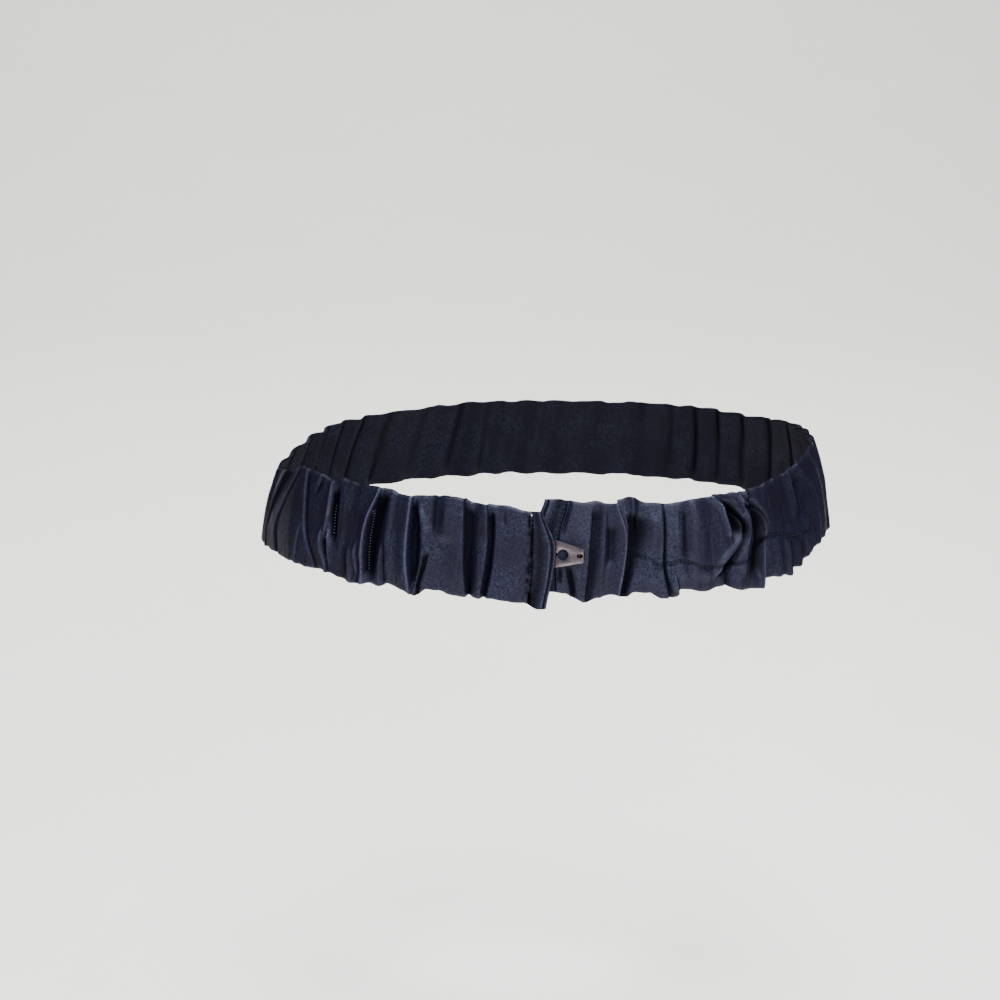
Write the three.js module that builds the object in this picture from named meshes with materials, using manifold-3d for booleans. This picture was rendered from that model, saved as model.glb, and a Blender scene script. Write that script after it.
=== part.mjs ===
// Gathered satin waist belt, worn: an elastic casing with folds, closed at the back by one metal hook.
// Millimetres, +Z up. The origin is the middle of the waist, at half the height of the casing.
// The wearer's back faces -Y. A place round the waist is a run of degrees from the middle of the back,
// through +X, the front and -X. A height on the casing is 0 at its lower edge and 1 at its upper edge.

import * as THREE from 'three';
import * as BufferGeometryUtils from 'three/addons/utils/BufferGeometryUtils.js';
import Module from 'manifold-3d';

const wasm = await Module();
wasm.setup();

// The loop round the waist, measured to the face of the cloth between its folds
const upper_half_width = 134;
const upper_half_depth = 99;
const lower_half_width = 145;
const lower_half_depth = 107;
const casing_height = 44;

// The cloth
const casing_wall = 2.2;
const hem_thickness = 2.6;
const edge_turn = 1.0;
const thin_edge = 1.2;
const puff = 1.4;
const fold_rise = 3.0;
const ruffle_rise = 1.3;
const seam_sink = 0.7;
const gather_rise = 1.5;
const clearance = 0.3;

// The hook, a pressed plate whose tip is bent back under it as a bill
const plate_length = 18.5;
const plate_thickness = 0.8;
const plate_sewn_height = 15.2;
const plate_tip_height = 6.4;
const keyhole_radius = 2.6;
const keyhole_from_tip = 10;
const neck_width = 1.6;
const neck_length = 5;
const tip_hole_radius = 1.1;
const tip_hole_from_tip = 2.5;
const tip_slot_width = 1.8;
const tip_bridge = 0.9;
const bill_length = 4.2;
const bill_width = 3;
const sewn_end_gap = 0.6;
const tip_room = 1.4;

// The bar that the bill catches
const bar_section = 0.9;
const bar_leg = 0.8;

// Where the cloth ends: degrees at heights 1, 2/3, 1/3 and 0
const upper_tab_edge = [-4.3, -1.2, -2.0, -3.0];
const upper_hem_line = [-6.3, -6.4, -6.3, -6.8];
const lower_hem_line = [0.2, -0.8, -1.1, -0.9];
const lower_tab_edge = [-5.0, -5.4, -5.5, -5.4];

// Where the hook's tip lies, and the heights on the casing of its sewn end and its tip
const plate_tip_at = 4.1;
const plate_sewn_level = 0.447;
const plate_tip_level = 0.507;

// The two tabs lie apart by the hook and a hem, over a flat stretch, and meet the loop further on
const lap_flat = 6;
const lap_reach = 18;
const upper_tab_share = 0.6;

// The casing's edges: degrees, then the upper and lower edge as shares of half the casing's height
const right_edges = [
  { at: -6, top: 1.06, low: -0.9 },
  { at: -1, top: 1.08, low: -0.88 },
  { at: 0.5, top: 1.03, low: -0.9 },
  { at: 2.3, top: 1.03, low: -1.03 },
  { at: 4.5, top: 1.01, low: -1.13 },
  { at: 6.7, top: 1.03, low: -1.0 },
  { at: 9.2, top: 0.98, low: -0.92 },
  { at: 11.5, top: 1.05, low: -1.03 },
  { at: 13.8, top: 1.11, low: -0.9 },
  { at: 16.4, top: 0.99, low: -0.92 },
  { at: 18.8, top: 0.99, low: -1.07 },
  { at: 20.8, top: 0.94, low: -1.08 },
  { at: 23.2, top: 0.95, low: -0.9 },
  { at: 28.5, top: 0.97, low: -0.99 },
  { at: 32.5, top: 1.01, low: -0.93 },
  { at: 36.5, top: 1.0, low: -1.1 },
  { at: 41.5, top: 0.99, low: -1.13 },
  { at: 43.8, top: 1.0, low: -0.95 },
  { at: 50, top: 1.08, low: -0.98 },
  { at: 55, top: 1.15, low: -0.84 },
  { at: 62, top: 1.25, low: -0.7 },
  { at: 76, top: 1.35, low: -0.62 },
  { at: 96, top: 1.38, low: -0.62 },
  { at: 130, top: 1.14, low: -0.86 },
  { at: 180, top: 1.0, low: -1.0 },
];
const left_edges = [
  { at: 180, top: 1.0, low: -1.0 },
  { at: 230, top: 0.9, low: -1.04 },
  { at: 264, top: 0.52, low: -1.14 },
  { at: 276, top: 0.55, low: -1.15 },
  { at: 284, top: 0.74, low: -1.08 },
  { at: 294, top: 1.02, low: -1.03 },
  { at: 302, top: 1.04, low: -1.03 },
  { at: 306, top: 0.98, low: -1.0 },
  { at: 310, top: 1.07, low: -0.98 },
  { at: 316, top: 1.03, low: -1.07 },
  { at: 321, top: 1.07, low: -1.02 },
  { at: 324, top: 1.04, low: -1.02 },
  { at: 325.5, top: 1.0, low: -0.96 },
  { at: 329, top: 1.0, low: -1.02 },
  { at: 331.6, top: 1.02, low: -1.13 },
  { at: 334, top: 1.01, low: -0.93 },
  { at: 336.7, top: 1.1, low: -0.95 },
  { at: 339.4, top: 1.06, low: -0.99 },
  { at: 342, top: 0.99, low: -1.0 },
  { at: 348, top: 0.98, low: -1.0 },
  { at: 352.8, top: 0.9, low: -1.04 },
  { at: 355.6, top: 0.88, low: -1.16 },
  { at: 358, top: 0.88, low: -1.1 },
];

// The folds that the back shows: degrees at heights 1, 2/3, 1/3 and 0, the rise as a share of
// fold_rise, the reach to the left and to the right in degrees, and the heights between which it runs
const folds = [
  { name: 'left side crest', at: [291.5, 287.5, 285.5, 288.5], rise: 0.35, left: 1.2, right: 1.0, from: 0, to: 1 },
  { name: 'left thin crest', at: [296.7, 299.8, 303.2, 307.0], rise: 0.4, left: 1.6, right: 1.0, from: 0, to: 1 },
  { name: 'left low branch', at: [303.0, 302.5, 299.8, 301.4], rise: 0.3, left: 1.4, right: 1.0, from: 0, to: 0.5 },
  { name: 'split crest', at: [307.4, 308.0, 308.4, 310.8], rise: 0.8, left: 2.6, right: 0.9, from: 0, to: 0.95 },
  { name: 'split hollow', at: [308.8, 309.5, 310, 311], rise: -0.6, left: 0.8, right: 1.4, from: 0.2, to: 0.95 },
  { name: 'diagonal crest', at: [321.2, 319.0, 318.6, 320.4], rise: 1.1, left: 2.8, right: 1.0, from: 0, to: 1 },
  { name: 'diagonal hollow', at: [322.2, 321.2, 321.2, 322.4], rise: -0.6, left: 0.9, right: 2.0, from: 0.1, to: 1 },
  { name: 'short low edge', at: [324, 324.2, 324.8, 325.8], rise: 0.35, left: 2.0, right: 0.5, from: 0, to: 0.45 },
  { name: 'lens left crest', at: [328.8, 329.1, 329.7, 331.0], rise: 0.75, left: 3.0, right: 0.7, from: 0, to: 1 },
  { name: 'lens hollow', at: [329.6, 330.4, 331.0, 331.6], rise: -0.9, left: 0.8, right: 1.0, from: 0.1, to: 0.95 },
  { name: 'lens right ridge', at: [329.8, 331.8, 332.6, 331.6], rise: 0.5, left: 0.8, right: 1.4, from: 0.05, to: 0.9 },
  { name: 'top bulge', at: [336.6, 336.8, 337.0, 337.2], rise: 0.45, left: 2.2, right: 2.4, from: 0.5, to: 1 },
  { name: 'upright edge', at: [339.7, 340.5, 341.1, 341.8], rise: 0.75, left: 3.4, right: 0.4, from: 0, to: 1 },
  { name: 'upright hollow', at: [342.6, 342.8, 342.8, 342.6], rise: -0.4, left: 1.4, right: 1.2, from: 0, to: 1 },
  { name: 'tab crest', at: [345.1, 345.7, 345.6, 344.8], rise: 0.65, left: 1.6, right: 0.7, from: 0, to: 1 },
  { name: 'tab hollow', at: [346.0, 346.6, 346.4, 345.6], rise: -0.45, left: 0.5, right: 1.0, from: 0, to: 1 },
  { name: 'panel crease', at: [6.2, 4.9, 5.0, 3.9], rise: -0.3, left: 0.7, right: 0.7, from: 0, to: 1 },
  { name: 'narrow ridge', at: [7.4, 7.0, 7.0, 7.0], rise: 0.3, left: 0.8, right: 0.8, from: 0.1, to: 1 },
  { name: 'light crest', at: [9.4, 8.5, 8.6, 9.4], rise: 0.35, left: 0.7, right: 0.7, from: 0.35, to: 0.95 },
  { name: 'curved crest', at: [10.6, 12.1, 11.1, 10.0], rise: 0.9, left: 1.8, right: 0.8, from: 0, to: 1 },
  { name: 'curved hollow', at: [16.4, 13.3, 12.4, 11.7], rise: -0.7, left: 0.8, right: 1.3, from: 0, to: 0.9 },
  { name: 'top ridge', at: [13.9, 13.7, 14.0, 14.2], rise: 0.5, left: 0.9, right: 1.1, from: 0.6, to: 1 },
  { name: 'straight edge', at: [19.8, 19.4, 18.9, 20.2], rise: 0.5, left: 2.8, right: 0.4, from: 0, to: 1 },
  { name: 'straight hollow', at: [20.6, 20.2, 19.7, 21.4], rise: -0.35, left: 0.4, right: 1.2, from: 0, to: 1 },
  { name: 'panel dent', at: [25.0, 24.8, 24.4, 24.0], rise: -0.25, left: 1.4, right: 1.4, from: 0.35, to: 0.9 },
  { name: 'beak crest', at: [31.8, 38.0, 33.4, 29.4], rise: 0.8, left: 3.2, right: 0.7, from: 0.12, to: 1 },
  { name: 'beak pocket', at: [33.6, 36.0, 34.0, 33.0], rise: -0.6, left: 0.8, right: 0.8, from: 0.5, to: 0.95 },
  { name: 'strip ridge', at: [43.4, 41.3, 38.6, 38.0], rise: 0.35, left: 0.9, right: 0.9, from: 0.15, to: 0.85 },
  { name: 'big crest', at: [38.6, 45.2, 43.0, 41.4], rise: 1.1, left: 1.6, right: 0.7, from: 0, to: 1 },
  { name: 'flap ridge', at: [39.0, 38.2, 37.2, 36.2], rise: 0.6, left: 1.6, right: 2.0, from: 0, to: 0.4 },
  { name: 'faint crest', at: [56.2, 56.8, 57.0, 57.0], rise: 0.25, left: 1.2, right: 1.2, from: 0.5, to: 1 },
  { name: 'right hollow', at: [59.8, 59.0, 57.6, 57.0], rise: -0.5, left: 1.4, right: 2.0, from: 0.4, to: 0.9 },
  { name: 'right side crest', at: [61.0, 68.2, 67.4, 66.4], rise: 0.6, left: 1.8, right: 1.2, from: 0.15, to: 1 },
  { name: 'right outer crest', at: [70.5, 73.5, 73.0, 71.5], rise: 0.35, left: 1.2, right: 1.6, from: 0.1, to: 1 },
];
const fold_fade = 0.14;

// The stitched seam of the right half, the line where it sinks, and the ruffles that hang below it
const seam = { from: 14, to: 62, height: 0.37, reach: 0.06, fade: 4 };
const ruffles_at = [16.6, 20.6, 25.2, 29.4, 36.4, 40.6, 47.4, 52.4, 57.4, 62.4];
const ruffle_reach = 1.3;

// The gathers of the front, evenly pitched: degrees, and how far they slant and sway
const front = { from: 78, to: 282, fade: 12, pitch: 8, slant: 3, sway: 1.9, sway_every: 47 };

// How finely the cloth is cut: degrees per column, and rows of heights
const back_column = 0.8;
const front_column = 2.4;
const back_end = 84;
const casing_rows = [0, 0.07, 0.22, 0.38, 0.55, 0.73, 0.92, 1];
const hem_columns = [0, 0.15, 0.4, 0.65, 0.85, 1];
const hole_sides = 20;

function smooth(share) {
  const s = THREE.MathUtils.clamp(share, 0, 1);
  return s * s * (3 - 2 * s);
}

// 1 at a middle line, falling off over the reach on its left or right side
function hump(distance, left, right) {
  const reach = distance < 0 ? left : right;
  return Math.exp(-((distance / reach) ** 2));
}

// A smooth curve through four values, given from the upper edge down
function line_at(line, height) {
  const place = THREE.MathUtils.clamp(1 - height, 0, 1) * (line.length - 1);
  const i = Math.min(Math.floor(place), line.length - 2);
  const before = line[Math.max(i - 1, 0)];
  const after = line[Math.min(i + 2, line.length - 1)];
  const start_slope = (line[i + 1] - before) / 2;
  const end_slope = (after - line[i]) / 2;
  const f = place - i;
  const hold = smooth(f);
  const ease_out = f * (1 - f) * (1 - f);
  const ease_in = f * f * (1 - f);
  return line[i] * (1 - hold) + line[i + 1] * hold + start_slope * ease_out - end_slope * ease_in;
}

// How high a place of the casing lies, between its two wavy edges
function level_at(run, height) {
  const edges = run < 180 ? right_edges : left_edges;
  let i = 0;
  while (i < edges.length - 2 && edges[i + 1].at < run) i += 1;
  const share = smooth((run - edges[i].at) / (edges[i + 1].at - edges[i].at));
  const top = THREE.MathUtils.lerp(edges[i].top, edges[i + 1].top, share);
  const low = THREE.MathUtils.lerp(edges[i].low, edges[i + 1].low, share);
  return (casing_height / 2) * THREE.MathUtils.lerp(low, top, height);
}

// The point a distance out from the tapered oval loop
function on_loop(run, height, out) {
  const turn = THREE.MathUtils.degToRad(run);
  const level = level_at(run, height);
  const share = level / casing_height + 0.5;
  const half_width = THREE.MathUtils.lerp(lower_half_width, upper_half_width, share) + out;
  const half_depth = THREE.MathUtils.lerp(lower_half_depth, upper_half_depth, share) + out;
  return new THREE.Vector3(half_width * Math.sin(turn), -half_depth * Math.cos(turn), level);
}

// The hook lies between the tabs: its sewn end is under the upper tab, and its tip is over the bar
const back_radius = (upper_half_width + lower_half_width) / 2;
const bend_radius = bar_section / 2 + clearance;
const bill_depth = 2 * bend_radius + plate_thickness;
const tip_height = bill_depth + tip_room;
const sewn_at = plate_tip_at - THREE.MathUtils.radToDeg(plate_length / back_radius);

// The tabs are apart by the hem and by the hook's height where it comes out from under the tab
const hidden_share = (Math.max(...upper_tab_edge) - sewn_at) / (plate_tip_at - sewn_at);
const hook_height = THREE.MathUtils.lerp(sewn_end_gap, tip_height, hidden_share) + plate_thickness;
const lap_step = hem_thickness + hook_height + 2 * clearance;

function lap_out(run) {
  if (run > 180) {
    const share = smooth((run - (360 - lap_flat - lap_reach)) / lap_reach);
    return lap_step * upper_tab_share * share;
  }
  const share = 1 - smooth((run - lap_flat) / lap_reach);
  return -lap_step * (1 - upper_tab_share) * share;
}

function fold_out(run, height) {
  let out = 0;
  for (const fold of folds) {
    const starts = fold.from === 0 ? 1 : smooth((height - fold.from) / fold_fade);
    const ends = fold.to === 1 ? 1 : smooth((fold.to - height) / fold_fade);
    const shape = hump(run - line_at(fold.at, height), fold.left, fold.right);
    out += fold_rise * fold.rise * starts * ends * shape;
  }
  return out;
}

function seam_out(run, height) {
  const along = smooth((run - seam.from) / seam.fade) * smooth((seam.to - run) / seam.fade);
  const below = smooth((seam.height - height) / seam.reach);
  let out = -seam_sink * along * hump(height - seam.height, seam.reach, seam.reach);
  for (const at of ruffles_at) {
    out += ruffle_rise * below * hump(run - at, ruffle_reach, ruffle_reach);
  }
  return out;
}

function gather_out(run, height) {
  const shown = smooth((run - front.from) / front.fade) * smooth((front.to - run) / front.fade);
  const sway = front.sway * Math.sin(THREE.MathUtils.degToRad((360 * run) / front.sway_every));
  const place = run + sway + front.slant * (height - 0.5);
  return gather_rise * shown * Math.cos(THREE.MathUtils.degToRad((360 * place) / front.pitch));
}

// How far the outer face of the cloth stands out from the loop
function face_out(run, height) {
  const round = puff * (1 - (2 * height - 1) ** 2);
  return round + lap_out(run) + fold_out(run, height) + seam_out(run, height) + gather_out(run, height);
}

// A closed mesh from sections of paired points, an outer and an inner one for each row
function wall_mesh(sections) {
  const rows = sections[0].length;
  const positions = [];
  for (const section of sections) {
    for (const pair of section) positions.push(...pair.outer.toArray(), ...pair.inner.toArray());
  }
  const outer = (i, j) => 2 * (i * rows + j);
  const inner = (i, j) => 2 * (i * rows + j) + 1;
  const index = [];
  const quad = (a, b, c, d) => index.push(a, b, c, a, c, d);
  for (let i = 0; i < sections.length - 1; i += 1) {
    for (let j = 0; j < rows - 1; j += 1) {
      quad(outer(i, j), outer(i + 1, j), outer(i + 1, j + 1), outer(i, j + 1));
      quad(inner(i, j), inner(i, j + 1), inner(i + 1, j + 1), inner(i + 1, j));
    }
    quad(outer(i, 0), inner(i, 0), inner(i + 1, 0), outer(i + 1, 0));
    const top = rows - 1;
    quad(outer(i, top), outer(i + 1, top), inner(i + 1, top), inner(i, top));
  }
  const last = sections.length - 1;
  for (let j = 0; j < rows - 1; j += 1) {
    quad(outer(0, j), outer(0, j + 1), inner(0, j + 1), inner(0, j));
    quad(outer(last, j), inner(last, j), inner(last, j + 1), outer(last, j + 1));
  }
  const geometry = new THREE.BufferGeometry();
  geometry.setAttribute('position', new THREE.Float32BufferAttribute(positions, 3));
  geometry.setIndex(index);
  return geometry;
}

// A band of cloth between two lines, whose upper and lower edges turn in and get thinner
function cloth_band(columns, thickness, run_at, edge_at) {
  const sections = columns.map((share) => casing_rows.map((height) => {
    const run = run_at(share, height);
    const at_rim = height === 0 || height === 1;
    const wall = at_rim ? thin_edge : thickness * (1 - edge_at(share)) + thin_edge * edge_at(share);
    const turned = at_rim ? edge_turn : (thickness - wall) / 2;
    const out = face_out(run, height) - turned;
    return { outer: on_loop(run, height, out), inner: on_loop(run, height, out - wall) };
  }));
  return wall_mesh(sections);
}

const seam_gap = THREE.MathUtils.radToDeg(clearance / back_radius);

// The casing, from the lower tab's hem all the way round to the upper tab's hem
function casing_geometry() {
  const start = (height) => line_at(lower_hem_line, height) + seam_gap;
  const end = (height) => 360 + line_at(upper_hem_line, height) - seam_gap;
  const first = start(0.5);
  const last = end(0.5);
  const stops = [first, back_end, 360 - back_end, last];
  const runs = [];
  stops.slice(1).forEach((stop, i) => {
    const column = i === 1 ? front_column : back_column;
    const steps = Math.ceil((stop - stops[i]) / column);
    for (let k = 0; k < steps; k += 1) runs.push(stops[i] + ((stop - stops[i]) * k) / steps);
  });
  runs.push(last);
  const shear = lap_flat;
  const run_at = (run, height) => {
    const at_start = (start(height) - first) * (1 - smooth((run - first) / shear));
    const at_end = (end(height) - last) * (1 - smooth((last - run) / shear));
    return run + at_start + at_end;
  };
  return cloth_band(runs, casing_wall, run_at, () => 0);
}

// A turned-back end: a thicker band of cloth with a rounded free edge
function hem_geometry(left_line, right_line, base, free_at) {
  const run_at = (share, height) => {
    const left = line_at(left_line, height);
    const right = line_at(right_line, height);
    return base + THREE.MathUtils.lerp(left, right, share);
  };
  return cloth_band(hem_columns, hem_thickness, run_at, (share) => (share === free_at ? 1 : 0));
}

// The hook's own axes: along the plate to its tip, up, and out from the waist
function hook_frame() {
  const sewn_out = face_out(sewn_at, plate_sewn_level) + sewn_end_gap;
  const tip_out = face_out(plate_tip_at, plate_tip_level) + tip_height;
  const sewn_end = on_loop(sewn_at, plate_sewn_level, sewn_out);
  const tip = on_loop(plate_tip_at, plate_tip_level, tip_out);
  const level_above = plate_sewn_level + 0.1;
  const above = on_loop(sewn_at, level_above, face_out(sewn_at, level_above) + sewn_end_gap);
  const along = tip.clone().sub(sewn_end).normalize();
  const out = along.clone().cross(above.sub(sewn_end)).normalize();
  const up = out.clone().cross(along);
  const frame = new THREE.Matrix4().makeBasis(along, up, out);
  return frame.setPosition(sewn_end);
}

function solid(geometry) {
  const bare = geometry.clone();
  bare.deleteAttribute('normal');
  bare.deleteAttribute('uv');
  const merged = BufferGeometryUtils.mergeVertices(bare, 1e-4);
  return new wasm.Manifold(new wasm.Mesh({
    numProp: 3,
    vertProperties: new Float32Array(merged.attributes.position.array),
    triVerts: new Uint32Array(merged.index.array),
  }));
}

function geometry_of(body) {
  const mesh = body.getMesh();
  const geometry = new THREE.BufferGeometry();
  geometry.setAttribute('position', new THREE.Float32BufferAttribute(mesh.vertProperties, 3));
  geometry.setIndex(Array.from(mesh.triVerts));
  return geometry;
}

function extruded(shape, depth, segments) {
  return new THREE.ExtrudeGeometry(shape, { depth, bevelEnabled: false, curveSegments: segments });
}

// The hook's side view: a flat plate, a round bend at the tip and the bill under it
function hook_profile() {
  const bend_at = plate_length - bend_radius - plate_thickness;
  const shape = new THREE.Shape();
  shape.moveTo(0, 0);
  shape.lineTo(bend_at, 0);
  shape.absarc(bend_at, -bend_radius, bend_radius, Math.PI / 2, -Math.PI / 2, true);
  shape.lineTo(plate_length - bill_length, -2 * bend_radius);
  shape.lineTo(plate_length - bill_length, -bill_depth);
  shape.lineTo(bend_at, -bill_depth);
  shape.absarc(bend_at, -bend_radius, bend_radius + plate_thickness, -Math.PI / 2, Math.PI / 2, false);
  shape.lineTo(0, plate_thickness);
  shape.closePath();
  const geometry = extruded(shape, plate_sewn_height, hole_sides / 2);
  geometry.rotateX(Math.PI / 2);
  geometry.translate(0, plate_sewn_height / 2, 0);
  return geometry;
}

// A round hole through the plate alone, with a straight slot that runs on from it
function hole_cutter(from_tip, radius, slot_width, slot_to) {
  const at = plate_length - from_tip;
  const depth = bend_radius + 2 * plate_thickness;
  const middle = plate_thickness - bend_radius / 2;
  const round = new THREE.CylinderGeometry(radius, radius, depth, hole_sides);
  round.rotateX(Math.PI / 2);
  round.translate(at, 0, middle);
  const slot = new THREE.BoxGeometry(Math.abs(slot_to - at), slot_width, depth);
  slot.translate((slot_to + at) / 2, 0, middle);
  return solid(round).add(solid(slot));
}

// The hook's front view: a trapezoid with rounded corners at its tip, cut out of the bent plate
function hook_plate_geometry() {
  const outline = new THREE.Shape();
  const corner = 1;
  const half_tip = plate_tip_height / 2;
  outline.moveTo(0, -plate_sewn_height / 2);
  outline.lineTo(plate_length - corner, -half_tip);
  outline.quadraticCurveTo(plate_length, -half_tip, plate_length, -half_tip + corner);
  outline.lineTo(plate_length, half_tip - corner);
  outline.quadraticCurveTo(plate_length, half_tip, plate_length - corner, half_tip);
  outline.lineTo(0, plate_sewn_height / 2);
  outline.closePath();
  const blank = extruded(outline, 4 * bill_depth, 4);
  blank.translate(0, 0, -2 * bill_depth);
  let body = solid(hook_profile()).intersect(solid(blank));
  const keyhole_neck_end = plate_length - keyhole_from_tip - neck_length;
  body = body.subtract(hole_cutter(keyhole_from_tip, keyhole_radius, neck_width, keyhole_neck_end));
  const tip_slot_end = plate_length - tip_bridge;
  body = body.subtract(hole_cutter(tip_hole_from_tip, tip_hole_radius, tip_slot_width, tip_slot_end));
  for (const side of [-1, 1]) {
    const width = plate_sewn_height / 2;
    const beside = new THREE.BoxGeometry(plate_length, width, 2 * bill_depth);
    beside.translate(plate_length / 2, side * (bill_width / 2 + width / 2), -bill_depth - 0.001);
    body = body.subtract(solid(beside));
  }
  return geometry_of(body).applyMatrix4(hook_frame());
}

// A staple that stands on the lower tab, with the bill under its bridge
function hook_bar_geometry() {
  const inner_half = bill_width / 2 + clearance;
  const outer_half = inner_half + bar_leg;
  const foot = -bill_depth;
  const bridge_low = -clearance - bar_section;
  const shape = new THREE.Shape();
  shape.moveTo(-outer_half, foot);
  shape.lineTo(-inner_half, foot);
  shape.lineTo(-inner_half, bridge_low);
  shape.lineTo(inner_half, bridge_low);
  shape.lineTo(inner_half, foot);
  shape.lineTo(outer_half, foot);
  shape.lineTo(outer_half, -clearance);
  shape.lineTo(-outer_half, -clearance);
  shape.closePath();
  const geometry = extruded(shape, bar_section, 1);
  geometry.rotateX(Math.PI / 2);
  geometry.rotateZ(Math.PI / 2);
  geometry.translate(plate_length - bend_radius - plate_thickness - bar_section, 0, 0);
  return geometry.applyMatrix4(hook_frame());
}

const satin = { color: 0x1b1e2c, roughness: 0.45, metalness: 0 };
const steel = { color: 0xa79f9f, roughness: 0.3, metalness: 1 };

function piece(name, geometry, finish) {
  const mesh = new THREE.Mesh(geometry, new THREE.MeshStandardMaterial(finish));
  mesh.name = name;
  return mesh;
}

const group = new THREE.Group();
group.add(piece('casing', casing_geometry(), satin));
group.add(piece('upper_end_hem', hem_geometry(upper_hem_line, upper_tab_edge, 360, 1), satin));
group.add(piece('lower_end_hem', hem_geometry(lower_tab_edge, lower_hem_line, 0, 0), satin));
group.add(piece('hook_plate', hook_plate_geometry(), steel));
group.add(piece('hook_bar', hook_bar_geometry(), steel));

export default group;
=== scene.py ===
# %% [markdown]
# # A gathered satin waist belt
# This lesson dresses a plain model of a cummerbund: a band of dark satin that elastic has drawn up into
# folds, worn round a waist and closed at the back by a pressed metal hook. The plain model holds the
# sizes, and everything here is modelled around it, in metres, in the same frame.

# %% Load the frame
import math

import bmesh
import bpy
import numpy as np
from mathutils import Matrix, Vector


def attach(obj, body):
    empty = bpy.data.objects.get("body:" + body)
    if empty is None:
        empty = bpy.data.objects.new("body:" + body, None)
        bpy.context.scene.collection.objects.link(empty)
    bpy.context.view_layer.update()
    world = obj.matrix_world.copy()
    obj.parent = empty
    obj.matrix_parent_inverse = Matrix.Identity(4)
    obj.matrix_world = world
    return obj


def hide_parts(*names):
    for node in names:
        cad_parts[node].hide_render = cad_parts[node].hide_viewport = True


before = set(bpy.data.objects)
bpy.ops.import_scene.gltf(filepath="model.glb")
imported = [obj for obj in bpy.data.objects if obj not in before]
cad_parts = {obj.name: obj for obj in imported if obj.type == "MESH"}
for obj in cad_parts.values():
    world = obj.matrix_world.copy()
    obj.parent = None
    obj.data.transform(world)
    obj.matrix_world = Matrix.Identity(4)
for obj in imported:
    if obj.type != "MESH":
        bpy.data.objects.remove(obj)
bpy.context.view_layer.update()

MM = 0.001

# %% [markdown]
# ## The camera
# A belt that is worn has no front that it stands on, so the camera's place is given from the middle of
# the waist: how far it is turned round the belt, how high it looks from and how far away it is. The
# belt doesn't sit in the middle of the picture, so the camera is aimed a little to one side of it.

# %% Place the camera
PICTURE = 1000
BELT_MIDDLE_IN_PICTURE = (549, 488)
CAMERA_DISTANCE = 1.05
PICTURE_WIDTH_AT_BELT = 0.510
CAMERA_TURN = math.radians(-4)
CAMERA_HEIGHT = math.radians(16.5)
CAMERA_ROLL = math.radians(1)
SENSOR = 36
NEAREST_SEEN = 0.05


def place_camera():
    """Turns round the belt, lifts, then aims past its middle by the offset that the picture shows."""
    level = Vector((math.sin(CAMERA_TURN), -math.cos(CAMERA_TURN), 0))
    back = level * math.cos(CAMERA_HEIGHT) + Vector((0, 0, math.sin(CAMERA_HEIGHT)))
    right = (-back).cross(Vector((0, 0, 1))).normalized()
    up = right.cross(-back)
    pixel = PICTURE_WIDTH_AT_BELT / PICTURE
    across = (PICTURE / 2 - BELT_MIDDLE_IN_PICTURE[0]) * pixel
    above = (BELT_MIDDLE_IN_PICTURE[1] - PICTURE / 2) * pixel
    spot = back * CAMERA_DISTANCE
    view = (right * across + up * above - spot).normalized()
    flat_right = view.cross(Vector((0, 0, 1))).normalized()
    flat_up = flat_right.cross(view)
    rolled_right = flat_right * math.cos(CAMERA_ROLL) + flat_up * math.sin(CAMERA_ROLL)
    rolled_up = rolled_right.cross(view)
    data = bpy.data.cameras.new("view")
    data.sensor_width = SENSOR
    data.lens = SENSOR * CAMERA_DISTANCE / PICTURE_WIDTH_AT_BELT
    data.clip_start = NEAREST_SEEN
    camera = bpy.data.objects.new("view", data)
    camera.matrix_world = Matrix((rolled_right, rolled_up, -view)).transposed().to_4x4()
    camera.location = spot
    bpy.context.collection.objects.link(camera)
    bpy.context.scene.camera = camera
    return camera


camera = place_camera()
print("lens", round(camera.data.lens, 1), "mm")

# %% [markdown]
# ## Places on the belt
# Every place on the cloth has two numbers. The run is in degrees round the waist, from the middle of
# the back through +X and the front. The height goes from 0 at the lower edge to 1 at the upper edge.
# The loop itself is an oval that gets wider downwards, because it sits on a waist.

# %% The loop
UPPER_HALF_WIDTH, UPPER_HALF_DEPTH = 134, 99
LOWER_HALF_WIDTH, LOWER_HALF_DEPTH = 145, 107
CASING_HEIGHT = 44
CASING_WALL = 2.2
HEM_THICKNESS = 2.6


def smooth(share):
    """0 below 0, 1 above 1, and an even S between them."""
    s = np.clip(share, 0, 1)
    return s * s * (3 - 2 * s)


def bell(distance, reach):
    """1 at no distance, and a round fall to about a third at one reach."""
    return np.exp(-((distance / reach) ** 2))


def signed(run):
    """Runs over 180 degrees become negative ones, so the left half reads as minus degrees."""
    return np.where(run < 180, run, run - 360)


print("loop:", 2 * UPPER_HALF_WIDTH, "mm wide above and", 2 * LOWER_HALF_WIDTH, "mm wide below")

# %% [markdown]
# ## The wavy edges
# Gathers pull the edges of a casing up and down. Each row of these tables gives degrees from the
# middle of the back, then how far the upper and the lower edge lie from the middle, as shares of half
# the casing's height. The two halves have a table each, because the ends lap over each other.

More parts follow.
